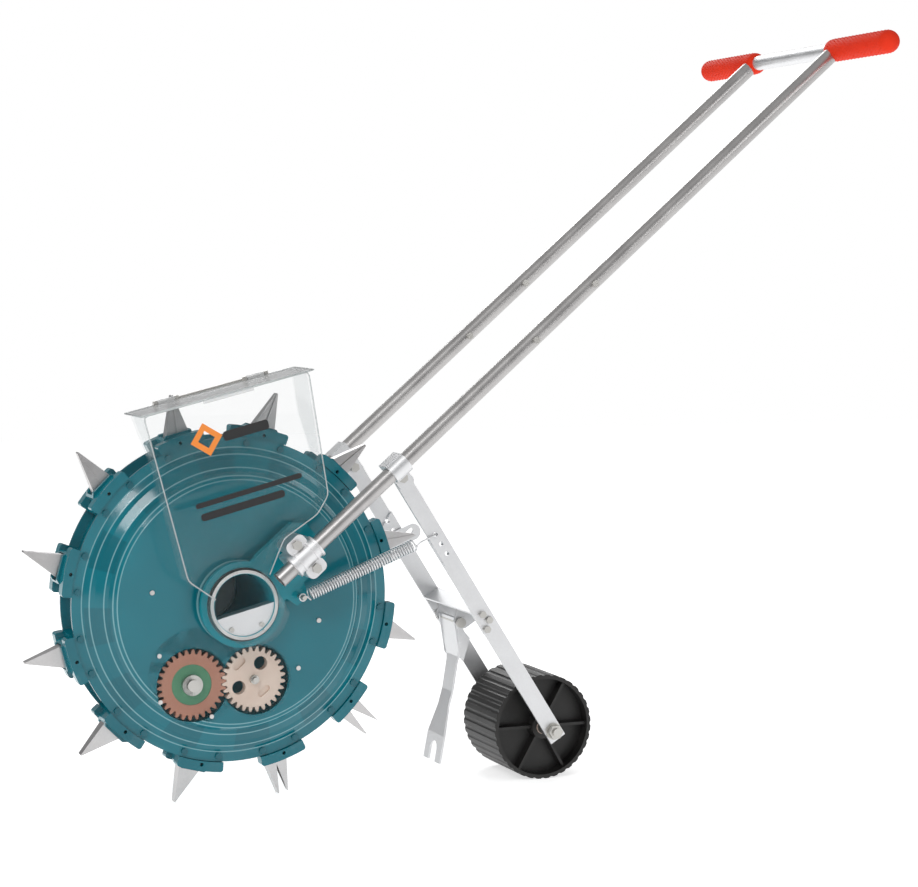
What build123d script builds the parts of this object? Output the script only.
from build123d import *
import os
from math import acos, cos, degrees, hypot, pi, radians, sin, tan

os.makedirs("parts", exist_ok=True)

# A hand-pushed rolling seeder: a drum with twelve opening bills, a clear seed box beside its
# hub, a long twin-tube handle and a trailing press wheel. Millimetres, +Z up. The machine
# travels towards -X, so the handle rises towards +X. "Left" is the -Y side, "right" is +Y.

# ---------------------------------------------------------------- driving dimensions
BILL_COUNT = 12
BILL_STEP = 360 / BILL_COUNT
TIP_R = 287.0                 # hub centre to the point of a closed bill
TIP_EDGE = 1.4                # how far the movable jaw's point stands from the bill's radius
BILL_ANGLES = [-105 + BILL_STEP * k for k in range(BILL_COUNT)]
OPEN_ANGLES = {-75: 12.0, -45: 22.0}   # the two bills that stand open, and by how much

HANDLE_ANGLE = 40.84          # rise of the handle tubes, through the hub's axis
HANDLE_Y = 118.0              # half the distance between the tubes' centre lines
HANDLE_START = 53.0           # lower end of a tube, measured along it from the hub
HANDLE_JOINT = 687.0          # where the upper tube meets the lower one
HANDLE_END = 1170.0           # centre line of the crossbar
TUBE_R = 11.0
TUBE_WALL = 1.5
GRIP_R = 17.0
GRIP_INNER_Y = 103.0
HALF_WIDTH = 270.0            # outer ends of the grips

PIVOT_X, PIVOT_Z = 221.6, 164.0        # swing pivot of the rear frame, from the hub
AXLE_X = 453.7                # press wheel's axle, from the hub
WHEEL_R = 75.0
WHEEL_HALF_WIDTH = 57.3

handle_c, handle_s = cos(radians(HANDLE_ANGLE)), sin(radians(HANDLE_ANGLE))
half_step = radians(BILL_STEP / 2)
FRONT_REACH = TIP_R * cos(half_step) + TIP_EDGE * sin(half_step)
REAR_REACH = HANDLE_END * handle_c + GRIP_R
HUB_X = (FRONT_REACH - REAR_REACH) / 2
HUB_Z = FRONT_REACH           # twelve bills are as deep below the hub as they are long in front
AXLE_Z = WHEEL_R - HUB_Z
BAR_LENGTH = hypot(AXLE_X - PIVOT_X, AXLE_Z - PIVOT_Z)
BAR_ANGLE = -degrees(acos((AXLE_X - PIVOT_X) / BAR_LENGTH))

HUB_AXIS = Axis((HUB_X, 0, HUB_Z), (0, -1, 0))


# ---------------------------------------------------------------- planes and helpers
def side(y):
    """Side plane through the hub's axis: x is rearwards, y is up, extrusion goes to the left."""
    return Plane(origin=(HUB_X, y, HUB_Z), x_dir=(1, 0, 0), z_dir=(0, -1, 0))


def tilted_side(y, angle, x=0.0, z=0.0):
    """Side plane whose x axis is turned up by an angle about a point given from the hub."""
    return Plane(origin=(HUB_X + x, y, HUB_Z + z), x_dir=(cos(radians(angle)), 0, sin(radians(angle))),
                 z_dir=(0, -1, 0))


def handle_side(y):
    """Side plane along the handle: x is the distance from the hub, y is across the tube."""
    return tilted_side(y, HANDLE_ANGLE)


def bar_side(y):
    """Side plane along the rear bars: x runs from the swing pivot to the axle, y is rearwards."""
    return tilted_side(y, BAR_ANGLE, PIVOT_X, PIVOT_Z)


def across_handle(s, y):
    """Plane square to a handle tube at a distance s from the hub; extrusion goes up the tube."""
    return Plane(origin=(HUB_X + s * handle_c, y, HUB_Z + s * handle_s), x_dir=(0, 1, 0),
                 z_dir=(handle_c, 0, handle_s))


def across_bill(r):
    """Plane square to the bill that points along +X, at a distance r from the hub."""
    return Plane(origin=(HUB_X + r, 0, HUB_Z), x_dir=(0, 1, 0), z_dir=(1, 0, 0))


def save(part, name):
    """Label one finished sub-part and write its STEP file."""
    part.label = name
    export_step(part, f"parts/{name}.step")


def on_circle(radius, angle):
    """Point on a circle, for sketches in side planes."""
    return (radius * cos(radians(angle)), radius * sin(radians(angle)))


# ---------------------------------------------------------------- handle tubes
SPIGOT_LENGTH = 170.0
SPIGOT_R = TUBE_R - TUBE_WALL - 0.1
HANDLE_BOLT_S = (537.0, 655.0)
HANDLE_BOLT_R = 3.0
CROSSBAR_AXIS = Axis((HUB_X + HANDLE_END * handle_c, 0, HUB_Z + HANDLE_END * handle_s), (0, 1, 0))
CROSSBAR_HALF = HALF_WIDTH - 6.0
bar_top = Plane(origin=CROSSBAR_AXIS.position, x_dir=(1, 0, 0), z_dir=(0, -1, 0))

for hand, name in ((-1, "left"), (1, "right")):
    with BuildPart() as lower_tube:
        with BuildSketch(across_handle(HANDLE_START, hand * HANDLE_Y)):
            Circle(TUBE_R)
            Circle(TUBE_R - TUBE_WALL, mode=Mode.SUBTRACT)
        extrude(amount=HANDLE_JOINT - HANDLE_START)
        with BuildSketch(handle_side(hand * HANDLE_Y)):
            with Locations(*[(s, 0) for s in HANDLE_BOLT_S]):
                Circle(HANDLE_BOLT_R)
        extrude(amount=2 * TUBE_R, both=True, mode=Mode.SUBTRACT)
    save(lower_tube.part, f"handle_tube_{name}")

    with BuildPart() as upper_tube:
        with BuildSketch(across_handle(HANDLE_JOINT, hand * HANDLE_Y)):
            Circle(TUBE_R)
        extrude(amount=HANDLE_END - HANDLE_JOINT)
        with BuildSketch(across_handle(HANDLE_JOINT - SPIGOT_LENGTH, hand * HANDLE_Y)):
            Circle(SPIGOT_R)
        extrude(amount=SPIGOT_LENGTH)
        with BuildSketch(across_handle(HANDLE_JOINT - SPIGOT_LENGTH, hand * HANDLE_Y)):
            Circle(SPIGOT_R - TUBE_WALL)
        extrude(amount=HANDLE_END - HANDLE_JOINT + SPIGOT_LENGTH, mode=Mode.SUBTRACT)
        with BuildSketch(bar_top):
            Circle(TUBE_R)
        extrude(amount=HALF_WIDTH, both=True, mode=Mode.SUBTRACT)
        with BuildSketch(handle_side(hand * HANDLE_Y)):
            with Locations(*[(s, 0) for s in HANDLE_BOLT_S]):
                Circle(HANDLE_BOLT_R)
        extrude(amount=2 * TUBE_R, both=True, mode=Mode.SUBTRACT)
    save(upper_tube.part, f"handle_upper_{name}")

    with BuildPart() as grip:
        with BuildSketch(bar_top.offset(hand * -GRIP_INNER_Y)):
            Circle(GRIP_R)
        extrude(amount=hand * -(HALF_WIDTH - GRIP_INNER_Y))
        outer_end = grip.faces().sort_by(Axis.Y)[-1 if hand > 0 else 0]
        inner_end = grip.faces().sort_by(Axis.Y)[0 if hand > 0 else -1]
        fillet(outer_end.edges(), 7)
        fillet(inner_end.edges(), 3)
        with BuildSketch(bar_top):
            Circle(TUBE_R)
        extrude(amount=-hand * CROSSBAR_HALF, mode=Mode.SUBTRACT)
        with BuildSketch(across_handle(HANDLE_END - 2 * GRIP_R, hand * HANDLE_Y)):
            Circle(TUBE_R + 0.3)
        extrude(amount=2 * GRIP_R, mode=Mode.SUBTRACT)
    save(grip.part, f"grip_{name}")

with BuildPart() as handle_crossbar:
    with BuildSketch(bar_top):
        Circle(TUBE_R)
        Circle(TUBE_R - TUBE_WALL, mode=Mode.SUBTRACT)
    extrude(amount=CROSSBAR_HALF, both=True)
save(handle_crossbar.part, "handle_crossbar")

# ---------------------------------------------------------------- hub tube and its fittings
HUB_R = 47.0
HUB_BORE_R = 42.0
HUB_LEFT_END = -90.0
HUB_RIGHT_END = 88.0
SEED_PLATE_TILT = 14.4        # slope of the seed plate's straight upper edge
SEED_PLATE_DROP = 8.5         # how far that edge lies below the hub's centre
BOSS_RING_R = 37.0
PLATE_BOSS_ANGLES = (-48.0, -118.0)
DROP_SLOT_HALF = 26.0         # seed drops out of the hub's underside over this half length

with BuildPart() as hub_tube:
    with BuildSketch(side(HUB_RIGHT_END)):
        Circle(HUB_R)
        Circle(HUB_BORE_R, mode=Mode.SUBTRACT)
    extrude(amount=HUB_RIGHT_END - HUB_LEFT_END)
    with BuildSketch(side(HUB_LEFT_END + 14)):
        with Locations(*[on_circle(BOSS_RING_R, a) for a in PLATE_BOSS_ANGLES]):
            Circle(5.5)
    extrude(amount=9.5)
    with BuildSketch(side(DROP_SLOT_HALF)):
        with Locations((0, -HUB_R)):
            Rectangle(36, 24)
    extrude(amount=2 * DROP_SLOT_HALF, mode=Mode.SUBTRACT)
    with BuildSketch(side(HUB_LEFT_END + 15)):
        with Locations(*[on_circle(BOSS_RING_R, a) for a in PLATE_BOSS_ANGLES]):
            Circle(1.7)
    extrude(amount=20, mode=Mode.SUBTRACT)
save(hub_tube.part, "hub_tube")

with BuildPart() as hub_seed_plate:
    with BuildSketch(tilted_side(HUB_LEFT_END + 4.5, SEED_PLATE_TILT)):
        Circle(HUB_BORE_R - 0.1)
        with Locations((0, HUB_BORE_R - SEED_PLATE_DROP)):
            Rectangle(3 * HUB_BORE_R, 2 * HUB_BORE_R, mode=Mode.SUBTRACT)
    extrude(amount=2.5)
    with BuildSketch(tilted_side(HUB_LEFT_END + 4.5, SEED_PLATE_TILT)):
        with Locations((0, -SEED_PLATE_DROP - 1.25)):
            Rectangle(78, 2.5)
    extrude(amount=-18)
    with BuildSketch(side(HUB_LEFT_END + 5)):
        with Locations(*[on_circle(BOSS_RING_R, a) for a in PLATE_BOSS_ANGLES]):
            Circle(1.8)
    extrude(amount=5, mode=Mode.SUBTRACT)
save(hub_seed_plate.part, "hub_seed_plate")

with BuildPart() as hub_end_cap:
    with BuildSketch(side(HUB_RIGHT_END + 3)):
        Circle(HUB_R)
    extrude(amount=3)
    with BuildSketch(side(HUB_RIGHT_END)):
        Circle(HUB_BORE_R - 0.1)
        Circle(HUB_BORE_R - 3, mode=Mode.SUBTRACT)
    extrude(amount=8)
    fillet(hub_end_cap.faces().sort_by(Axis.Y)[-1].edges(), 1.5)
save(hub_end_cap.part, "hub_end_cap")

with BuildPart() as hub_screws:
    for angle in PLATE_BOSS_ANGLES:
        x, z = on_circle(BOSS_RING_R, angle)
        with BuildSketch(side(HUB_LEFT_END + 2)):
            with Locations((x, z)):
                Circle(3.4)
        extrude(amount=2)
        with BuildSketch(side(HUB_LEFT_END + 13)):
            with Locations((x, z)):
                Circle(1.7)
        extrude(amount=11)
save(hub_screws.part, "hub_screws")

# ---------------------------------------------------------------- seed gears
GEAR_MODULE = 3.0
SUN_TEETH, IDLER_TEETH, ROLLER_TEETH = 45, 28, 30
SEED_CELLS = 8
GEAR_NEAR_Y = -54.0
GEAR_WIDTH = 12.0
CELL_WIDTH = 13.0
BACKLASH = 0.35               # total play along the pitch circle
PRESSURE_ANGLE = radians(20)
IDLER_ANGLE = -77.4           # direction of the idler gear's centre from the hub
ROLLER_R_FROM_HUB = 126.0     # distance of the seed roller's centre from the hub
FELT_R = 27.7
ROLLER_PIN_R = 14.0
IDLER_PIN_R = 6.0


def pitch_radius(teeth):
    return GEAR_MODULE * teeth / 2


IDLER_CENTRE_R = pitch_radius(SUN_TEETH) + pitch_radius(IDLER_TEETH)
MESH_DISTANCE = pitch_radius(IDLER_TEETH) + pitch_radius(ROLLER_TEETH)
idler_x, idler_z = on_circle(IDLER_CENTRE_R, IDLER_ANGLE)
corner_angle = degrees(acos((IDLER_CENTRE_R**2 + ROLLER_R_FROM_HUB**2 - MESH_DISTANCE**2)
                            / (2 * IDLER_CENTRE_R * ROLLER_R_FROM_HUB)))
roller_x, roller_z = on_circle(ROLLER_R_FROM_HUB, IDLER_ANGLE - corner_angle)
to_roller = degrees(acos((roller_x - idler_x) / MESH_DISTANCE)) * (1 if roller_z > idler_z else -1)

SUN_PHASE = IDLER_ANGLE                               # a tooth points at the idler
IDLER_PITCH = 360 / IDLER_TEETH
IDLER_PHASE = IDLER_ANGLE + 180 + IDLER_PITCH / 2     # a gap receives it
idler_offset = (IDLER_PHASE - to_roller) % IDLER_PITCH
ROLLER_PHASE = to_roller + 180 - idler_offset * IDLER_TEETH / ROLLER_TEETH + 180 / ROLLER_TEETH


def involute(angle):
    return tan(angle) - angle


def gear_outline(teeth, phase):
    """Corner points of an involute gear's outline, with one tooth centred on the phase angle."""
    pitch_r = pitch_radius(teeth)
    base_r = pitch_r * cos(PRESSURE_ANGLE)
    root_r, tip_r = pitch_r - 1.2 * GEAR_MODULE, pitch_r + 0.95 * GEAR_MODULE
    half_at_pitch = pi / (2 * teeth) - BACKLASH / (4 * pitch_r)
    flank = []
    for step in range(5):
        r = max(root_r, base_r) + (tip_r - max(root_r, base_r)) * step / 4
        half = half_at_pitch + involute(PRESSURE_ANGLE) - involute(acos(min(1.0, base_r / r)))
        flank.append((r, degrees(half)))
    if root_r < base_r:
        flank.insert(0, (root_r, flank[0][1]))
    points = []
    for tooth in range(teeth):
        centre = phase + 360 * tooth / teeth
        points += [on_circle(r, centre - half) for r, half in flank]
        points += [on_circle(r, centre + half) for r, half in reversed(flank)]
    return points


with BuildPart() as sun_gear:
    with BuildSketch(side(GEAR_NEAR_Y + GEAR_WIDTH)):
        Polygon(*gear_outline(SUN_TEETH, SUN_PHASE), align=None)
        Circle(HUB_R, mode=Mode.SUBTRACT)
    extrude(amount=GEAR_WIDTH)
save(sun_gear.part, "sun_gear")

with BuildPart() as idler_gear:
    with BuildSketch(tilted_side(GEAR_NEAR_Y + GEAR_WIDTH, 0, idler_x, idler_z)):
        Polygon(*gear_outline(IDLER_TEETH, IDLER_PHASE), align=None)
        Circle(IDLER_PIN_R + 0.05, mode=Mode.SUBTRACT)
        with Locations(on_circle(23.5, 206), on_circle(23.5, 66)):
            Circle(9.3, mode=Mode.SUBTRACT)
    extrude(amount=GEAR_WIDTH)
    with BuildSketch(tilted_side(GEAR_NEAR_Y, 0, idler_x, idler_z)):
        with Locations(Location((*on_circle(30, 133), 0), 43), Location((*on_circle(22, -50), 0), 40)):
            SlotOverall(20, 9)
    extrude(amount=-3, mode=Mode.SUBTRACT)
save(idler_gear.part, "idler_gear")

with BuildPart() as seed_roller:
    with BuildSketch(tilted_side(GEAR_NEAR_Y + GEAR_WIDTH, 0, roller_x, roller_z)):
        Polygon(*gear_outline(ROLLER_TEETH, ROLLER_PHASE), align=None)
        Circle(FELT_R, mode=Mode.SUBTRACT)
    extrude(amount=GEAR_WIDTH)
    with BuildSketch(tilted_side(GEAR_NEAR_Y + GEAR_WIDTH + CELL_WIDTH, 0, roller_x, roller_z)):
        Circle(40)
        Circle(ROLLER_PIN_R + 0.05, mode=Mode.SUBTRACT)
        with PolarLocations(38.5, SEED_CELLS):
            Circle(6, mode=Mode.SUBTRACT)
    extrude(amount=CELL_WIDTH)
save(seed_roller.part, "seed_roller")

with BuildPart() as roller_felt:
    with BuildSketch(tilted_side(GEAR_NEAR_Y + GEAR_WIDTH, 0, roller_x, roller_z)):
        Circle(FELT_R)
        Circle(ROLLER_PIN_R + 0.05, mode=Mode.SUBTRACT)
    extrude(amount=GEAR_WIDTH - 1)
save(roller_felt.part, "roller_felt")

# ---------------------------------------------------------------- drum
DISC_Y = 60.0                 # outer face of each dished side
SHELL_WALL = 3.0
FLANGE_Y = 34.5
FLANGE_R = 221.0
BUSH_OUTER_R = 52.0
BOSS_R = 56.0
BOSS_Y = 66.0
BAND_R = 208.5
HALF_CORE = 30.0
WINDOW_CENTRE = (-59.5, -97.0)
WINDOW_R = 65.0
DISC_SCREWS = ((120, 171), (118.6, -15), (127, -48), (135, 80))
COVER_SCREWS = ((-38.4, -152), (-110, -66), (-109, -128))
HOLDER_BOLTS = (-3.7, 9.4)             # angles of a holder's two bolts, from its bill
HOLDER_BOLT_AT_R = 213.5
HOLDER_BOLT_R = 2.5

shell_section = [(BUSH_OUTER_R, BOSS_Y), (BOSS_R, BOSS_Y), (BOSS_R + 1, DISC_Y), (165, DISC_Y),
                 (171, 57), (175.5, 51.5), (181, 50), (192, 43), (198, 41), (207, FLANGE_Y),
                 (FLANGE_R, FLANGE_Y), (FLANGE_R, HALF_CORE), (204, HALF_CORE), (197, 37.8),
                 (190.5, 40), (179.8, 46.7), (174.2, 48.3), (169.3, 53.9), (164, 57),
                 (BUSH_OUTER_R, 57)]

for hand, name in ((-1, "left"), (1, "right")):
    with BuildPart() as shell:
        with BuildSketch(Plane.XY.offset(HUB_Z)):
            with Locations((HUB_X, 0)):
                Polygon(*[(r, hand * y) for r, y in shell_section], align=None)
        revolve(axis=HUB_AXIS, revolution_arc=360)
        with BuildSketch(side(hand * HALF_CORE)):
            for bolt_angle in HOLDER_BOLTS:
                with PolarLocations(HOLDER_BOLT_AT_R, BILL_COUNT, BILL_ANGLES[0] + bolt_angle):
                    Circle(HOLDER_BOLT_R)
        extrude(amount=-hand * 2 * SHELL_WALL, mode=Mode.SUBTRACT)
        if hand < 0:
            with BuildSketch(side(-DISC_Y + 20)):
                with Locations((roller_x, roller_z)):
                    Circle(50)
                with Locations((idler_x, idler_z)):
                    Circle(47.5)
                Circle(BOSS_R + 1, mode=Mode.SUBTRACT)
            extrude(amount=25, mode=Mode.SUBTRACT)
    save(shell.part, f"drum_shell_{name}")

JAW_POCKET_LOW, JAW_POCKET_HIGH = -9.5, 28.3
JAW_POCKET_Y = 13.3
JAW_PIN_R = 2.5
JAW_PIN_AT = (226.0, 14.0)    # radius and height of the jaw pin in a bill's own side plane

with BuildPart() as rim_band:
    with BuildSketch(side(HALF_CORE)):
        Circle(BAND_R)
        Circle(BAND_R - 3.5, mode=Mode.SUBTRACT)
    extrude(amount=2 * HALF_CORE)
    for phi in BILL_ANGLES:
        with BuildSketch(tilted_side(JAW_POCKET_Y, phi)):
            with Locations((BAND_R, (JAW_POCKET_LOW + JAW_POCKET_HIGH) / 2)):
                Rectangle(30, JAW_POCKET_HIGH - JAW_POCKET_LOW)
        extrude(amount=2 * JAW_POCKET_Y, mode=Mode.SUBTRACT)
save(rim_band.part, "rim_band")

CHEEK_R = 235.0
CHEEK_Y = 38.0
CHEEK_IN_Y = 20.0
HOLDER_FROM, HOLDER_TO = -5.0, 11.3    # angles that a holder covers, from its bill


def sector(r_in, r_out, a_from, a_to):
    """Ring sector between two radii and two angles, for sketches in side planes."""
    with BuildSketch(Plane.XY) as shape:
        with BuildLine():
            outer = CenterArc((0, 0), r_out, a_from, a_to - a_from)
            inner = CenterArc((0, 0), r_in, a_from, a_to - a_from)
            Line(outer @ 0, inner @ 0)
            Line(outer @ 1, inner @ 1)
        make_face()
    return shape.sketch


with BuildPart() as holder:
    with BuildSketch(side(HALF_CORE - 0.3)):
        add(sector(BAND_R + 0.2, 222, HOLDER_FROM, HOLDER_TO))
    extrude(amount=2 * (HALF_CORE - 0.3))
    for y in (CHEEK_Y, -CHEEK_IN_Y):
        with BuildSketch(side(y)):
            add(sector(FLANGE_R + 0.6, CHEEK_R, HOLDER_FROM, HOLDER_TO))
        extrude(amount=CHEEK_Y - CHEEK_IN_Y)
    corners = holder.edges().filter_by(Axis.Y).group_by(lambda e: hypot(e.center().X - HUB_X,
                                                                        e.center().Z - HUB_Z))[-1]
    fillet(corners, 4)
    with BuildSketch(side(20)):
        Polygon((214, -12.5), (232, -12.5), (238, -7), (238, 26), (233, 31.3), (214, 31.3), align=None)
    extrude(amount=40)
    with BuildSketch(side(JAW_POCKET_Y)):
        with Locations((225, (JAW_POCKET_LOW + JAW_POCKET_HIGH) / 2)):
            Rectangle(60, JAW_POCKET_HIGH - JAW_POCKET_LOW)
    extrude(amount=2 * JAW_POCKET_Y, mode=Mode.SUBTRACT)
    with BuildSketch(side(0)):
        with Locations(JAW_PIN_AT):
            Circle(JAW_PIN_R)
        with Locations(*[on_circle(HOLDER_BOLT_AT_R, a) for a in HOLDER_BOLTS]):
            Circle(HOLDER_BOLT_R)
    extrude(amount=CHEEK_Y, both=True, mode=Mode.SUBTRACT)

with BuildPart() as bill_holders:
    for phi in BILL_ANGLES:
        add(holder.part.rotate(HUB_AXIS, phi))
save(bill_holders.part, "bill_holders")

with BuildPart() as jaw_pins:
    for phi in BILL_ANGLES:
        with BuildSketch(tilted_side(19.5, phi)):
            with Locations(JAW_PIN_AT):
                Circle(JAW_PIN_R)
        extrude(amount=39)
save(jaw_pins.part, "jaw_pins")

# ---------------------------------------------------------------- bills
# A bill is two tapered sheet scoops. The fixed one lies on the leading side with its open
# side facing the movable one, which nests between its walls and turns on the jaw pin.
SHEET = 1.5
ROOT_R = 204.0
ROOT_HALF_Y, TIP_HALF_Y = 13.0, 7.0
NEST = 0.7                    # side play between the two scoops
JAW_ROOT_R = 219.0


def scoop_half_width(r):
    """Half the fixed jaw's outer width at a radius."""
    return ROOT_HALF_Y - (ROOT_HALF_Y - TIP_HALF_Y) * (r - ROOT_R) / (TIP_R - ROOT_R)


def scoop_section(r, half_width, low, high):
    """Rectangular section of a scoop at a radius, for a loft."""
    with BuildSketch(across_bill(r)) as section:
        with Locations((0, (low + high) / 2)):
            Rectangle(2 * half_width, high - low)
    return section.sketch


with BuildPart() as fixed_jaw:
    loft([scoop_section(ROOT_R, ROOT_HALF_Y, -12, 13), scoop_section(TIP_R, TIP_HALF_Y, -0.8, 0.8)],
         ruled=True)
    loft([scoop_section(ROOT_R - 1, ROOT_HALF_Y - SHEET, -10.5, 24),
          scoop_section(TIP_R + 1, TIP_HALF_Y - SHEET, 0.7, 8)], ruled=True, mode=Mode.SUBTRACT)
    with BuildSketch(side(20)):
        with Locations((ROOT_R, JAW_POCKET_LOW + 0.3 - 20)):
            Rectangle(100, 40)
    extrude(amount=40, mode=Mode.SUBTRACT)

with BuildPart() as fixed_jaws:
    for phi in BILL_ANGLES:
        add(fixed_jaw.part.rotate(HUB_AXIS, phi))
save(fixed_jaws.part, "fixed_jaws")

jaw_root_half = scoop_half_width(JAW_ROOT_R) - SHEET - NEST
jaw_tip_half = TIP_HALF_Y - SHEET - NEST

with BuildPart() as closed_jaw:
    loft([scoop_section(JAW_ROOT_R, jaw_root_half, 5, 30.6),
          scoop_section(TIP_R, jaw_tip_half, 0.9, TIP_EDGE)], ruled=True)
    loft([scoop_section(JAW_ROOT_R - 1, jaw_root_half - SHEET, -5, 29.3),
          scoop_section(TIP_R - 4, jaw_tip_half - 1, -5, 1.5)], ruled=True, mode=Mode.SUBTRACT)
    with BuildSketch(side(20)):
        with Locations((JAW_ROOT_R, 46)):
            Rectangle(60, 40)
    extrude(amount=40, mode=Mode.SUBTRACT)
    with BuildSketch(side(20)):
        with Locations(JAW_PIN_AT):
            Circle(JAW_PIN_R + 0.05)
    extrude(amount=40, mode=Mode.SUBTRACT)

pin_axis = Axis((HUB_X + JAW_PIN_AT[0], 0, HUB_Z + JAW_PIN_AT[1]), (0, -1, 0))
for number, phi in enumerate(BILL_ANGLES, start=1):
    with BuildPart() as movable_jaw:
        opened = closed_jaw.part.rotate(pin_axis, OPEN_ANGLES.get(phi, 0.0))
        add(opened.rotate(HUB_AXIS, phi))
    save(movable_jaw.part, f"movable_jaw_{number:02d}")

# ---------------------------------------------------------------- drum fittings
with BuildPart() as drum_bushes:
    for start in (BOSS_Y, -BOSS_Y + 11.5):
        with BuildSketch(side(start)):
            Circle(BUSH_OUTER_R)
            Circle(HUB_R + 0.05, mode=Mode.SUBTRACT)
        extrude(amount=11.5)
save(drum_bushes.part, "drum_bushes")

COVER_WALL = 2.5
with BuildPart() as metering_cover:
    with BuildSketch(side(-DISC_Y)):
        with Locations(WINDOW_CENTRE):
            Circle(WINDOW_R)
        with Locations((idler_x, idler_z)):
            Circle(50)
        Circle(BOSS_R + 1.5, mode=Mode.SUBTRACT)
        with Locations((roller_x, roller_z)):
            Circle(ROLLER_PIN_R - 6, mode=Mode.SUBTRACT)
        with Locations((idler_x, idler_z)):
            Circle(IDLER_PIN_R - 2, mode=Mode.SUBTRACT)
    extrude(amount=COVER_WALL)
    with BuildSketch(side(-DISC_Y - COVER_WALL)):
        with Locations(WINDOW_CENTRE):
            Circle(WINDOW_R)
            Circle(WINDOW_R - 2.5, mode=Mode.SUBTRACT)
        with Locations((idler_x, idler_z)):
            Circle(50)
            Circle(47.5, mode=Mode.SUBTRACT)
        Circle(BOSS_R + 1.5, mode=Mode.SUBTRACT)
    extrude(amount=1.5)
save(metering_cover.part, "metering_cover")

with BuildPart() as gear_pins:
    pin_far_y = GEAR_NEAR_Y + GEAR_WIDTH + CELL_WIDTH + 3
    for x, z, pin_r, neck_r in ((roller_x, roller_z, ROLLER_PIN_R, ROLLER_PIN_R - 6),
                                (idler_x, idler_z, IDLER_PIN_R, IDLER_PIN_R - 2)):
        with BuildSketch(side(pin_far_y)):
            with Locations((x, z)):
                Circle(pin_r)
        extrude(amount=pin_far_y + DISC_Y)
        with BuildSketch(side(-DISC_Y)):
            with Locations((x, z)):
                Circle(neck_r)
        extrude(amount=COVER_WALL + 2)
        with BuildSketch(side(pin_far_y + 3)):
            with Locations((x, z)):
                Circle(pin_r + 4)
        extrude(amount=3)
save(gear_pins.part, "gear_pins")

with BuildPart() as drum_screws:
    for phi in BILL_ANGLES:
        for bolt_angle in HOLDER_BOLTS:
            x, z = on_circle(HOLDER_BOLT_AT_R, phi + bolt_angle)
            with BuildSketch(side(FLANGE_Y)):
                with Locations((x, z)):
                    Circle(HOLDER_BOLT_R)
            extrude(amount=2 * FLANGE_Y)
            for face_y in (FLANGE_Y + 3, -FLANGE_Y):
                with BuildSketch(side(face_y)):
                    with Locations((x, z)):
                        Circle(4.3)
                extrude(amount=3)
    for radius, angle in DISC_SCREWS:
        for face_y in (DISC_Y + 2, -DISC_Y):
            with BuildSketch(side(face_y)):
                with Locations(on_circle(radius, angle)):
                    Circle(3.2)
            extrude(amount=2)
    with BuildSketch(side(-DISC_Y - COVER_WALL)):
        with Locations(*COVER_SCREWS):
            Circle(3)
    extrude(amount=2)
save(drum_screws.part, "drum_screws")

# ---------------------------------------------------------------- hub arms and handle clamps
ARM_Y = 76.0                  # inner face of each arm plate
ARM_PLATE = 8.0
ARM_HALF_WIDTH = 36.0
ARM_REACH = 136.0
CLAMP_S = 100.0               # clamp centre, along the handle
LOBE_OFFSET = 21.0
CLAMP_BOLT_R = 4.0
SPRING_ANCHOR = (64.7, -46.0)  # along and across the handle
STRAP_BOLTS = ((32.6, -63.2), (50.6, -69.9))

for hand, name in ((-1, "left"), (1, "right")):
    outer_y = hand * (ARM_Y + ARM_PLATE)
    with BuildPart() as arm:
        with BuildSketch(handle_side(hand * ARM_Y)):
            Circle(HUB_R + 11)
            with BuildLine():
                Polyline((0, -ARM_HALF_WIDTH), (ARM_REACH - 14, -ARM_HALF_WIDTH), (ARM_REACH, -22),
                         (ARM_REACH, 22), (ARM_REACH - 14, ARM_HALF_WIDTH), (0, ARM_HALF_WIDTH),
                         close=True)
            make_face()
            if hand < 0:
                Polygon((48, -30), (54, -54), (74, -54), (84, -30), align=None)
            else:
                Polygon((8, -30), (20, -76), (60, -82), (72, -30), align=None)
            Circle(HUB_R, mode=Mode.SUBTRACT)
        extrude(amount=-hand * ARM_PLATE)
        with BuildSketch(handle_side(hand * ARM_Y)):
            with BuildLine():
                Polyline((54, -ARM_HALF_WIDTH), (ARM_REACH - 14, -ARM_HALF_WIDTH), (ARM_REACH, -22),
                         (ARM_REACH, 22), (ARM_REACH - 14, ARM_HALF_WIDTH), (54, ARM_HALF_WIDTH),
                         close=True)
            make_face()
            offset(amount=-3, mode=Mode.SUBTRACT)
        extrude(amount=hand * 5)
        with BuildSketch(handle_side(hand * ARM_Y)):
            with Locations((CLAMP_S, LOBE_OFFSET), (CLAMP_S, -LOBE_OFFSET)):
                Circle(CLAMP_BOLT_R)
        extrude(amount=20, both=True, mode=Mode.SUBTRACT)
        if hand < 0:
            with BuildSketch(handle_side(-ARM_Y)):
                with Locations(SPRING_ANCHOR):
                    Circle(3)
            extrude(amount=20, both=True, mode=Mode.SUBTRACT)
        else:
            with BuildSketch(handle_side(ARM_Y)):
                with Locations(*STRAP_BOLTS):
                    Circle(3)
            extrude(amount=20, both=True, mode=Mode.SUBTRACT)
    save(arm.part, f"hub_arm_{name}")

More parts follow.
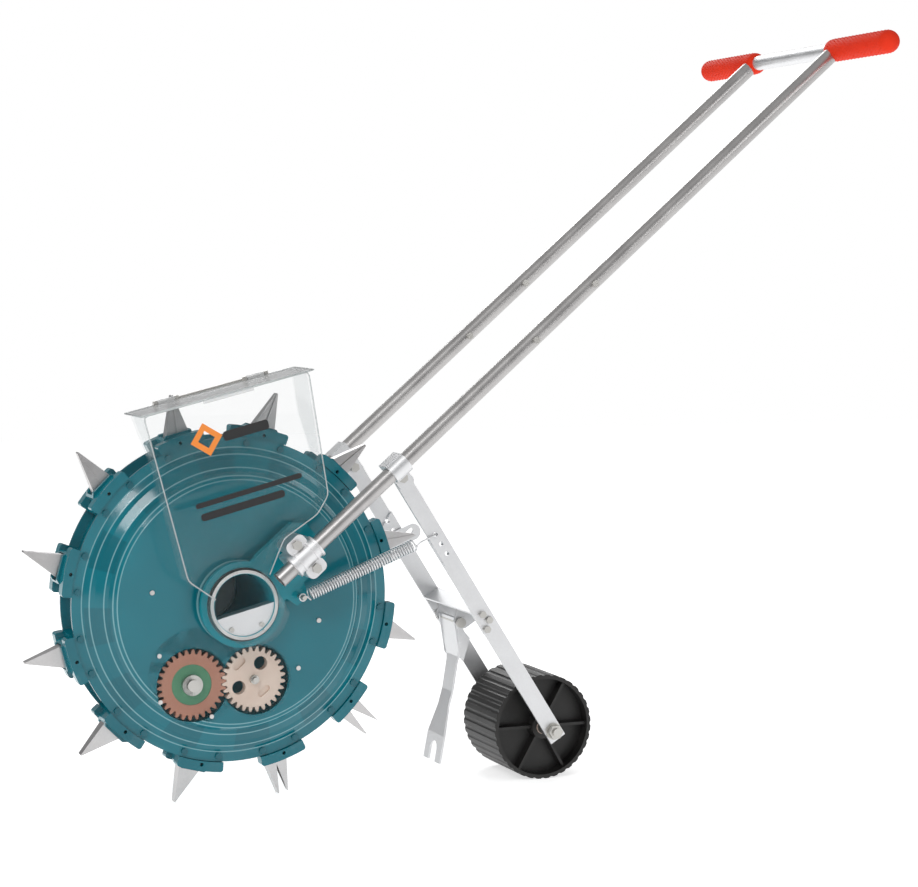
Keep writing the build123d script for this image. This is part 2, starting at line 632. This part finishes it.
with BuildPart() as handle_saddles:
    for hand in (-1, 1):
        with BuildSketch(handle_side(hand * (ARM_Y + ARM_PLATE))):
            with Locations((CLAMP_S, 0)):
                RectangleRounded(46, 30, 4)
            with Locations((CLAMP_S, LOBE_OFFSET), (CLAMP_S, -LOBE_OFFSET)):
                RectangleRounded(30, 20, 8)
        extrude(amount=-hand * (HANDLE_Y - 0.4 - ARM_Y - ARM_PLATE))
    for hand in (-1, 1):
        with BuildSketch(across_handle(HANDLE_START, hand * HANDLE_Y)):
            Circle(TUBE_R)
        extrude(amount=120, mode=Mode.SUBTRACT)
        with BuildSketch(handle_side(hand * HANDLE_Y)):
            with Locations((CLAMP_S, LOBE_OFFSET), (CLAMP_S, -LOBE_OFFSET)):
                Circle(CLAMP_BOLT_R)
        extrude(amount=60, both=True, mode=Mode.SUBTRACT)
save(handle_saddles.part, "handle_saddles")

CAP_FLANGE = 6.0
with BuildPart() as clamp_caps:
    for hand in (-1, 1):
        with BuildSketch(handle_side(hand * (HANDLE_Y + 0.4))):
            with Locations((CLAMP_S, LOBE_OFFSET), (CLAMP_S, -LOBE_OFFSET)):
                RectangleRounded(30, 20, 8)
        extrude(amount=-hand * CAP_FLANGE)
        with BuildSketch(across_handle(CLAMP_S - 22, hand * HANDLE_Y)):
            Circle(TUBE_R + 4)
            with Locations((-hand * 20, 0)):
                Rectangle(40.8, 60, mode=Mode.SUBTRACT)
        extrude(amount=44)
        for s in (CLAMP_S - 20, CLAMP_S - 11, CLAMP_S + 11, CLAMP_S + 20):
            with BuildSketch(across_handle(s - 1.5, hand * HANDLE_Y)):
                Circle(TUBE_R + 6)
                with Locations((-hand * 20, 0)):
                    Rectangle(40.8, 60, mode=Mode.SUBTRACT)
            extrude(amount=3)
    for hand in (-1, 1):
        with BuildSketch(across_handle(HANDLE_START, hand * HANDLE_Y)):
            Circle(TUBE_R)
        extrude(amount=120, mode=Mode.SUBTRACT)
        with BuildSketch(handle_side(hand * HANDLE_Y)):
            with Locations((CLAMP_S, LOBE_OFFSET), (CLAMP_S, -LOBE_OFFSET)):
                Circle(CLAMP_BOLT_R)
        extrude(amount=60, both=True, mode=Mode.SUBTRACT)
save(clamp_caps.part, "clamp_caps")

HEAD_LENGTH = 5.0


def through_bolt(plane_at, position, radius, head_y, nut_y):
    """Hex bolt along Y through a point of a side plane, its head beyond head_y, its nut beyond nut_y."""
    outward = 1 if head_y > nut_y else -1
    with BuildPart() as bolt:
        with BuildSketch(plane_at(head_y)):
            with Locations(position):
                Circle(radius)
        extrude(amount=head_y - nut_y)
        with BuildSketch(plane_at(head_y), plane_at(nut_y + outward * -HEAD_LENGTH)):
            with Locations(position):
                RegularPolygon(radius * 1.75, 6)
        extrude(amount=-outward * HEAD_LENGTH)
    return bolt.part


with BuildPart() as handle_bolts:
    for hand in (-1, 1):
        for lobe in (LOBE_OFFSET, -LOBE_OFFSET):
            add(through_bolt(handle_side, (CLAMP_S, lobe), CLAMP_BOLT_R,
                             hand * (HANDLE_Y + 0.4 + CAP_FLANGE), hand * ARM_Y))
        for s in HANDLE_BOLT_S:
            add(through_bolt(handle_side, (s, 0), HANDLE_BOLT_R, hand * (HANDLE_Y + TUBE_R),
                             hand * (HANDLE_Y - TUBE_R)))
save(handle_bolts.part, "handle_bolts")

# ---------------------------------------------------------------- seed hopper and lid
HOPPER_NEAR_Y = -125.0
HOPPER_BACK_Y = -86.5         # back wall beside the drum
HOPPER_TOP_BACK_Y = -56.0     # back wall where the box widens over the rim
HOPPER_WALL = 2.5
TOP_FRONT = (-145.4, 255.7)
TOP_REAR = (78.7, 311.7)
top_length = hypot(TOP_REAR[0] - TOP_FRONT[0], TOP_REAR[1] - TOP_FRONT[1])
TOP_SLOPE = degrees(acos((TOP_REAR[0] - TOP_FRONT[0]) / top_length))
THROAT_R = 52.0               # the box's foot wraps the hub at this radius
FLARE_LOW_Z, FLARE_HIGH_Z = 190.0, 252.0

with BuildSketch(Plane.XY) as hopper_outline:
    with BuildLine():
        throat = CenterArc((0, 0), THROAT_R, 165, 187)
        Polyline(throat @ 1, (24, 44), (44, 91), (91, 122), (106, 147), TOP_REAR, TOP_FRONT, (-87, 40),
                 throat @ 0)
    make_face()
    foot_corners = hopper_outline.vertices().filter_by(lambda v: 35 < v.Y < 160 and abs(v.X) > 20)
    fillet(foot_corners, 7)

with BuildPart() as hopper:
    with BuildSketch(side(HOPPER_TOP_BACK_Y)):
        add(hopper_outline.sketch)
    extrude(amount=HOPPER_TOP_BACK_Y - HOPPER_NEAR_Y)
    with BuildSketch(Plane.YZ.offset(HUB_X - 200)):
        Polygon((HOPPER_BACK_Y, HUB_Z - 60), (HOPPER_BACK_Y, HUB_Z + FLARE_LOW_Z),
                (HOPPER_TOP_BACK_Y, HUB_Z + FLARE_HIGH_Z), (HOPPER_TOP_BACK_Y, HUB_Z + 400),
                (0, HUB_Z + 400), (0, HUB_Z - 60), align=None)
    extrude(amount=400, mode=Mode.SUBTRACT)
    with BuildPart(mode=Mode.SUBTRACT):
        with BuildSketch(side(HOPPER_TOP_BACK_Y - HOPPER_WALL)):
            add(hopper_outline.sketch)
            offset(amount=-HOPPER_WALL)
            with Locations((-33, 283.7)):
                Rectangle(222, 60, rotation=TOP_SLOPE)
        extrude(amount=HOPPER_TOP_BACK_Y - HOPPER_NEAR_Y - 2 * HOPPER_WALL)
        with BuildSketch(Plane.YZ.offset(HUB_X - 200)):
            back_in, top_in = HOPPER_BACK_Y - HOPPER_WALL, HOPPER_TOP_BACK_Y - HOPPER_WALL
            Polygon((back_in, HUB_Z - 60), (back_in, HUB_Z + FLARE_LOW_Z + 1),
                    (top_in, HUB_Z + FLARE_HIGH_Z + 1), (top_in, HUB_Z + 400),
                    (0, HUB_Z + 400), (0, HUB_Z - 60), align=None)
        extrude(amount=400, mode=Mode.SUBTRACT)
    with BuildSketch(side(HOPPER_BACK_Y + 1)):
        Circle(HUB_R + 0.2)
    extrude(amount=HOPPER_WALL + 2, mode=Mode.SUBTRACT)
save(hopper.part, "hopper")

LID_CLEAR = 0.3
LID_THICK = 3.0
HINGE_RISE = 4.0              # lid pin's height above the hopper's top edge
KNUCKLE_R = 4.0
LID_PIN_R = 2.0


def top_side(y):
    """Side plane along the hopper's sloping top edge: x runs from front to rear."""
    return tilted_side(y, TOP_SLOPE, TOP_FRONT[0], TOP_FRONT[1])


def along_top(s, y, rise):
    """Plane square to the hopper's top edge at a distance s from its front corner."""
    c, n = cos(radians(TOP_SLOPE)), sin(radians(TOP_SLOPE))
    return Plane(origin=(HUB_X + TOP_FRONT[0] + s * c - rise * n, y,
                         HUB_Z + TOP_FRONT[1] + s * n + rise * c), x_dir=(0, 1, 0), z_dir=(c, 0, n))


LID_HINGE_Y = HOPPER_TOP_BACK_Y + 2.0
with BuildPart() as hopper_lid:
    with BuildSketch(top_side(LID_HINGE_Y - 4.5)):
        with Locations((top_length / 2, LID_CLEAR + LID_THICK / 2)):
            RectangleRounded(top_length + 10, LID_THICK, 1.2)
    extrude(amount=LID_HINGE_Y - 4.5 - HOPPER_NEAR_Y + 5)
    with BuildSketch(top_side(HOPPER_NEAR_Y - 4)):
        with Locations((top_length / 2, LID_CLEAR + LID_THICK / 2 - 2)):
            Rectangle(70, LID_THICK + 4)
    extrude(amount=3)
    for s in (40, top_length - 64):
        with BuildSketch(along_top(s, LID_HINGE_Y, HINGE_RISE)):
            Circle(KNUCKLE_R)
            with Locations((-3, -2)):
                Rectangle(6, 3.4)
        extrude(amount=24)
        with BuildSketch(along_top(s - 1, LID_HINGE_Y, HINGE_RISE)):
            Circle(LID_PIN_R + 0.05)
        extrude(amount=26, mode=Mode.SUBTRACT)
save(hopper_lid.part, "hopper_lid")

with BuildPart() as lid_pin:
    with BuildSketch(along_top(34, LID_HINGE_Y, HINGE_RISE)):
        Circle(LID_PIN_R)
    extrude(amount=top_length - 68)
    for s in (34, 64.5, top_length - 69.5, top_length - 39):
        with BuildSketch(along_top(s, LID_HINGE_Y, HINGE_RISE)):
            Circle(KNUCKLE_R)
            with Locations((0, -6)):
                Rectangle(4, 12)
        extrude(amount=5)
save(lid_pin.part, "lid_pin")

# ---------------------------------------------------------------- rear frame
BAR_THICK = 4.0
UPPER_BAR_Y = 92.0            # inner face of the upper bars
LOWER_BAR_Y = 88.0            # inner face of the lower bars, which lap inside the upper ones
UPPER_BAR_WIDTH, LOWER_BAR_WIDTH = 23.0, 25.0
UPPER_BAR_END = 140.0
LOWER_BAR_START = 85.0
ADJUST_HOLE_R = 3.2
ADJUST_HOLES = (94.0, 110.0, 126.0)
PIVOT_BOLT_R = 4.0
AXLE_R = 6.0
BRACKET_S = 240.0             # cross bracket's centre, along the bars
BRACKET_HALF = 20.0
BRACKET_BOLTS = ((229.5, -1.0), (241.5, 3.0), (251.0, -6.5))
BRACKET_BOLT_R = 3.0
LIMIT_S = ADJUST_HOLES[-1]    # the right-hand bars carry a limit pin in their last hole
COVERER_PIN_R = 4.0

for hand, name in ((-1, "left"), (1, "right")):
    with BuildPart() as upper_bar:
        with BuildSketch(bar_side(hand * UPPER_BAR_Y)):
            with BuildLine():
                Polyline((-16, UPPER_BAR_WIDTH / 2), (-20, -2), (-14, -UPPER_BAR_WIDTH / 2),
                         (UPPER_BAR_END, -UPPER_BAR_WIDTH / 2), (UPPER_BAR_END - 12, UPPER_BAR_WIDTH / 2),
                         close=True)
            make_face()
            Circle(PIVOT_BOLT_R + 0.05, mode=Mode.SUBTRACT)
            with Locations(*[(s, 0) for s in ADJUST_HOLES]):
                Circle(ADJUST_HOLE_R, mode=Mode.SUBTRACT)
        extrude(amount=-hand * BAR_THICK)
    save(upper_bar.part, f"upper_bar_{name}")

    with BuildPart() as lower_bar:
        with BuildSketch(bar_side(hand * LOWER_BAR_Y)):
            with BuildLine():
                Polyline((LOWER_BAR_START + 12, -LOWER_BAR_WIDTH / 2),
                         (BAR_LENGTH + 14, -LOWER_BAR_WIDTH / 2),
                         (BAR_LENGTH + 14, LOWER_BAR_WIDTH / 2), (LOWER_BAR_START, LOWER_BAR_WIDTH / 2),
                         close=True)
            make_face()
            with Locations((BAR_LENGTH, 0)):
                Circle(AXLE_R, mode=Mode.SUBTRACT)
            with Locations(*[(s, 0) for s in ADJUST_HOLES]):
                Circle(ADJUST_HOLE_R, mode=Mode.SUBTRACT)
            with Locations(*BRACKET_BOLTS):
                Circle(BRACKET_BOLT_R, mode=Mode.SUBTRACT)
        extrude(amount=-hand * BAR_THICK)
    save(lower_bar.part, f"lower_bar_{name}")

with BuildPart() as cross_bracket:
    bracket_half_y = LOWER_BAR_Y
    for hand in (-1, 1):
        with BuildSketch(bar_side(hand * bracket_half_y)):
            with Locations((BRACKET_S, 0)):
                RectangleRounded(2 * BRACKET_HALF, LOWER_BAR_WIDTH, 3)
        extrude(amount=hand * 3)
    with BuildSketch(bar_side(bracket_half_y)):
        with Locations((BRACKET_S, LOWER_BAR_WIDTH / 2 - 1.5)):
            Rectangle(2 * BRACKET_HALF, 3)
        with Locations((BRACKET_S - BRACKET_HALF + 1.5, 0)):
            Rectangle(3, LOWER_BAR_WIDTH)
    extrude(amount=2 * bracket_half_y)
    for hand in (-1, 1):
        with BuildSketch(bar_side(hand * 32)):
            with BuildLine():
                Polyline((BRACKET_S - 18.5, 11), (BRACKET_S - 18.5, -12), (BRACKET_S - 6, -26),
                         (BRACKET_S + 8, -26), (BRACKET_S + 12, -16), (BRACKET_S + 12, 11), close=True)
            make_face()
        extrude(amount=hand * -3)
    with BuildSketch(bar_side(bracket_half_y)):
        with Locations(*BRACKET_BOLTS):
            Circle(BRACKET_BOLT_R)
    extrude(amount=3, mode=Mode.SUBTRACT)
    with BuildSketch(bar_side(-bracket_half_y + 3)):
        with Locations(*BRACKET_BOLTS):
            Circle(BRACKET_BOLT_R)
    extrude(amount=3, mode=Mode.SUBTRACT)
    with BuildSketch(bar_side(40)):
        with Locations((BRACKET_S, -19)):
            Circle(COVERER_PIN_R)
    extrude(amount=80, mode=Mode.SUBTRACT)
save(cross_bracket.part, "cross_bracket")

with BuildPart() as bracket_bolts:
    for hand in (-1, 1):
        for position in BRACKET_BOLTS:
            add(through_bolt(bar_side, position, BRACKET_BOLT_R, hand * (LOWER_BAR_Y + BAR_THICK),
                             hand * (LOWER_BAR_Y - 3)))
    with BuildSketch(bar_side(38)):
        with Locations((BRACKET_S, -19)):
            Circle(COVERER_PIN_R)
    extrude(amount=76)
    for y in (41, -38):
        with BuildSketch(bar_side(y)):
            with Locations((BRACKET_S, -19)):
                Circle(7)
        extrude(amount=3)
    with BuildSketch(bar_side(UPPER_BAR_Y + BAR_THICK)):
        with Locations((LIMIT_S, 0)):
            Circle(ADJUST_HOLE_R)
    extrude(amount=UPPER_BAR_Y + BAR_THICK - 80)
    with BuildSketch(bar_side(UPPER_BAR_Y + BAR_THICK + 4)):
        with Locations((LIMIT_S, 0)):
            RegularPolygon(2 * ADJUST_HOLE_R, 6)
    extrude(amount=4)
save(bracket_bolts.part, "bracket_bolts")

with BuildPart() as rear_axle:
    axle_half = LOWER_BAR_Y + BAR_THICK + 14
    with BuildSketch(bar_side(axle_half)):
        with Locations((BAR_LENGTH, 0)):
            Circle(AXLE_R)
    extrude(amount=2 * axle_half)
    for hand in (-1, 1):
        with BuildSketch(bar_side(hand * LOWER_BAR_Y)):
            with Locations((BAR_LENGTH, 0)):
                Circle(9.5)
        extrude(amount=hand * (LOWER_BAR_Y - WHEEL_HALF_WIDTH - 0.5))
save(rear_axle.part, "rear_axle")

with BuildPart() as axle_nuts:
    for hand in (-1, 1):
        outer_y = hand * (LOWER_BAR_Y + BAR_THICK)
        with BuildSketch(bar_side(outer_y)):
            with Locations((BAR_LENGTH, 0)):
                Circle(12)
                Circle(AXLE_R, mode=Mode.SUBTRACT)
        extrude(amount=-hand * 2)
        with BuildSketch(bar_side(outer_y + hand * 2)):
            with Locations((BAR_LENGTH, 0)):
                RegularPolygon(10.5, 6)
                Circle(AXLE_R, mode=Mode.SUBTRACT)
        extrude(amount=-hand * 8)
save(axle_nuts.part, "axle_nuts")

# ---------------------------------------------------------------- press wheel
WHEEL_SCALLOPS = 36
TREAD_WALL = 6.0
WEB_Y = 20.0                  # the dished web stands this far in from each face
WHEEL_HUB_R = 17.0
WHEEL_BUSH_R = 10.0
WHEEL_RIBS = 6


def wheel_side(y):
    """Side plane through the press wheel's axle."""
    return tilted_side(y, 0, AXLE_X, AXLE_Z)


with BuildPart() as press_wheel:
    with BuildSketch(wheel_side(WHEEL_HALF_WIDTH)):
        Circle(WHEEL_R)
        with PolarLocations(WHEEL_R + 3.6, WHEEL_SCALLOPS):
            Circle(5, mode=Mode.SUBTRACT)
        Circle(WHEEL_R - TREAD_WALL, mode=Mode.SUBTRACT)
    extrude(amount=2 * WHEEL_HALF_WIDTH)
    with BuildSketch(wheel_side(WHEEL_HALF_WIDTH)):
        Circle(WHEEL_HUB_R)
    extrude(amount=2 * WHEEL_HALF_WIDTH)
    with BuildSketch(wheel_side(WHEEL_HALF_WIDTH - WEB_Y)):
        Circle(WHEEL_R - TREAD_WALL + 1)
    extrude(amount=4)
    with BuildSketch(wheel_side(-WHEEL_HALF_WIDTH + WEB_Y + 4)):
        Circle(WHEEL_R - TREAD_WALL + 1)
    extrude(amount=4)
    for hand in (-1, 1):
        with BuildSketch(wheel_side(hand * (WHEEL_HALF_WIDTH - 6))):
            with PolarLocations(42, WHEEL_RIBS):
                Rectangle(56, 4)
        extrude(amount=hand * (WEB_Y - 5))
    with BuildSketch(wheel_side(WHEEL_HALF_WIDTH)):
        Circle(WHEEL_BUSH_R)
    extrude(amount=2 * WHEEL_HALF_WIDTH, mode=Mode.SUBTRACT)
save(press_wheel.part, "press_wheel")

with BuildPart() as wheel_bushes:
    for y in (WHEEL_HALF_WIDTH, -WHEEL_HALF_WIDTH + 25):
        with BuildSketch(wheel_side(y)):
            Circle(WHEEL_BUSH_R)
            Circle(AXLE_R + 0.05, mode=Mode.SUBTRACT)
        extrude(amount=25)
save(wheel_bushes.part, "wheel_bushes")

# ---------------------------------------------------------------- soil coverer
coverer_hang = bar_side(0).location * Location((BRACKET_S, -19, 0))
HANG = (coverer_hang.position.X - HUB_X, coverer_hang.position.Z - HUB_Z)
COVERER_SHEET = 3.0
COVERER_WIDTHS = ((-40, 31), (-76, 31), (-108, 18), (-172, 18), (-214, 30), (-250, 30))

with BuildPart() as soil_coverer:
    with BuildSketch(side(40)):
        with BuildLine():
            Polyline((331, -44), (338, -100), (330, -150), (313, -212), (306, -250))
            offset(amount=COVERER_SHEET / 2, kind=Kind.ARC)
        make_face()
    extrude(amount=80)
    with BuildSketch(Plane.YZ.offset(HUB_X + 280)):
        with BuildLine():
            left_edge = [(-half, HUB_Z + z) for z, half in COVERER_WIDTHS]
            right_edge = [(half, HUB_Z + z) for z, half in reversed(COVERER_WIDTHS)]
            Polyline(*left_edge, *right_edge, close=True)
        make_face()
        with Locations((0, HUB_Z - 252)):
            SlotOverall(60, 24, rotation=90, mode=Mode.SUBTRACT)
    extrude(amount=90, mode=Mode.INTERSECT)
    for hand in (-1, 1):
        with BuildSketch(side(hand * 28.6)):
            with BuildLine():
                Polyline((327, -44), (338, -58), (352, -73), (342, -106), (336, -100), close=True)
            make_face()
        extrude(amount=hand * 2.4)
    with BuildSketch(side(40)):
        with Locations(HANG):
            Circle(COVERER_PIN_R + 0.05)
    extrude(amount=80, mode=Mode.SUBTRACT)
save(soil_coverer.part, "soil_coverer")

# ---------------------------------------------------------------- frame brackets, strap and spring
BRACKET_INNER_Y = UPPER_BAR_Y + BAR_THICK
pivot_s = PIVOT_X * handle_c + PIVOT_Z * handle_s
pivot_across = PIVOT_Z * handle_c - PIVOT_X * handle_s

with BuildPart() as bar_brackets:
    for hand in (-1, 1):
        with BuildSketch(across_handle(pivot_s - 14, hand * HANDLE_Y)):
            Circle(TUBE_R + 3)
            with Locations((-hand * 8, 0)):
                Rectangle(28, 2 * TUBE_R + 6)
            Circle(TUBE_R, mode=Mode.SUBTRACT)
        extrude(amount=28)
        with BuildSketch(handle_side(hand * BRACKET_INNER_Y)):
            with Locations((pivot_s, (pivot_across - TUBE_R) / 2)):
                RectangleRounded(24, abs(pivot_across) + 12 + TUBE_R, 8)
            with Locations((pivot_s, pivot_across)):
                Circle(PIVOT_BOLT_R, mode=Mode.SUBTRACT)
        extrude(amount=-hand * 4)
        with BuildSketch(across_handle(pivot_s - 14, hand * HANDLE_Y)):
            Circle(TUBE_R)
        extrude(amount=28, mode=Mode.SUBTRACT)
save(bar_brackets.part, "bar_brackets")

STRAP_Y = 84.3
STRAP_THICK = 3.0
STRAP_ANGLE = 20.4

LIMIT_TRAVEL = 10.0


def from_hub(plane, position):
    """Rearward and upward distance from the hub of a point given in a side plane."""
    point = (plane.location * Location((*position, 0))).position
    return (point.X - HUB_X, point.Z - HUB_Z)


strap_bolts_at = [from_hub(handle_side(0), position) for position in STRAP_BOLTS]
strap_front = strap_bolts_at[0]
mid_travel = radians(BAR_ANGLE + LIMIT_TRAVEL / 2)
strap_rear = (PIVOT_X + LIMIT_S * cos(mid_travel), PIVOT_Z + LIMIT_S * sin(mid_travel))
strap_reach = hypot(strap_rear[0] - strap_front[0], strap_rear[1] - strap_front[1])
slot_half = ADJUST_HOLE_R + 0.1
strap_rise = degrees(acos((strap_rear[0] - strap_front[0]) / strap_reach))

with BuildPart() as stay_strap:
    with BuildSketch(tilted_side(STRAP_Y + STRAP_THICK, strap_rise, *strap_front)):
        with Locations(((strap_reach + 2) / 2, 0)):
            SlotOverall(strap_reach + 46, 24)
        with Locations(*[(s, 0) for s in range(90, 211, 24)]):
            Circle(4, mode=Mode.SUBTRACT)
    extrude(amount=STRAP_THICK)
    with BuildSketch(side(STRAP_Y + STRAP_THICK + 1)):
        with Locations(*strap_bolts_at):
            Circle(3)
    extrude(amount=STRAP_THICK + 2, mode=Mode.SUBTRACT)
    with BuildSketch(bar_side(STRAP_Y + STRAP_THICK + 1)):
        add(sector(LIMIT_S - slot_half, LIMIT_S + slot_half, 0, LIMIT_TRAVEL))
        with Locations(on_circle(LIMIT_S, 0), on_circle(LIMIT_S, LIMIT_TRAVEL)):
            Circle(slot_half)
    extrude(amount=STRAP_THICK + 2, mode=Mode.SUBTRACT)
save(stay_strap.part, "stay_strap")

SPRING_Y = -99.0
SPRING_R = 8.7
SPRING_WIRE_R = 1.3
SPRING_PITCH = 4.4
SPRING_TURNS = 38
EYE_R = 4.5                   # loop that hangs on the anchor bolt
spring_from = from_hub(handle_side(0), SPRING_ANCHOR)
spring_to = from_hub(bar_side(0), (ADJUST_HOLES[0], 0))
spring_reach = hypot(spring_to[0] - spring_from[0], spring_to[1] - spring_from[1])
SPRING_ANGLE = degrees(acos((spring_to[0] - spring_from[0]) / spring_reach))
coil_length = SPRING_PITCH * SPRING_TURNS
coil_start = 9.0

spring_c, spring_s = cos(radians(SPRING_ANGLE)), sin(radians(SPRING_ANGLE))


def along_spring(distance):
    """Plane square to the spring at a distance from its front anchor; extrusion goes rearwards."""
    return Plane(origin=(HUB_X + spring_from[0] + distance * spring_c, SPRING_Y,
                         HUB_Z + spring_from[1] + distance * spring_s),
                 x_dir=(0, 1, 0), z_dir=(spring_c, 0, spring_s))


spring_axis = Axis(along_spring(0).origin, (spring_c, 0, spring_s))
coil_end = coil_start + coil_length
coil_profile = [(coil_start, 0), (coil_start, SPRING_R)]
for turn in range(SPRING_TURNS):
    turn_start = coil_start + turn * SPRING_PITCH
    coil_profile += [(turn_start + SPRING_PITCH / 2, SPRING_R),
                     (turn_start + SPRING_PITCH, SPRING_R - SPRING_WIRE_R)]
coil_profile.append((coil_end, 0))

with BuildPart() as tension_spring:
    with BuildSketch(Plane(origin=spring_axis.position, x_dir=(spring_c, 0, spring_s), z_dir=(0, -1, 0))):
        Polygon(*coil_profile, align=None)
    revolve(axis=spring_axis)
    with BuildSketch(along_spring(coil_start + 2 * SPRING_WIRE_R)):
        Circle(SPRING_R - 2 * SPRING_WIRE_R)
    extrude(amount=coil_length - 4 * SPRING_WIRE_R, mode=Mode.SUBTRACT)
    with BuildSketch(along_spring(EYE_R)):
        Circle(SPRING_WIRE_R)
    extrude(amount=coil_start + 1 - EYE_R)
    with BuildSketch(along_spring(coil_end - 1)):
        Circle(SPRING_WIRE_R)
    extrude(amount=spring_reach - coil_end + 1)
    with Locations(along_spring(spring_reach).origin):
        Sphere(SPRING_WIRE_R)
    with BuildSketch(tilted_side(-UPPER_BAR_Y, 0, *spring_to)):
        Circle(SPRING_WIRE_R)
    extrude(amount=-UPPER_BAR_Y - SPRING_Y)
    with Locations(Location(spring_axis.position, (90, 0, 0))):
        Torus(EYE_R, SPRING_WIRE_R)
save(tension_spring.part, "tension_spring")

with BuildPart() as frame_bolts:
    for hand in (-1, 1):
        add(through_bolt(handle_side, (pivot_s, pivot_across), PIVOT_BOLT_R,
                         hand * (BRACKET_INNER_Y + 4), hand * (UPPER_BAR_Y - 0.5)))
    for position in STRAP_BOLTS:
        add(through_bolt(handle_side, position, 3.0, STRAP_Y + STRAP_THICK, ARM_Y))
    with BuildSketch(handle_side(SPRING_Y - 8)):
        with Locations(SPRING_ANCHOR):
            Circle(3)
    extrude(amount=SPRING_Y - 8 + ARM_Y)
save(frame_bolts.part, "frame_bolts")
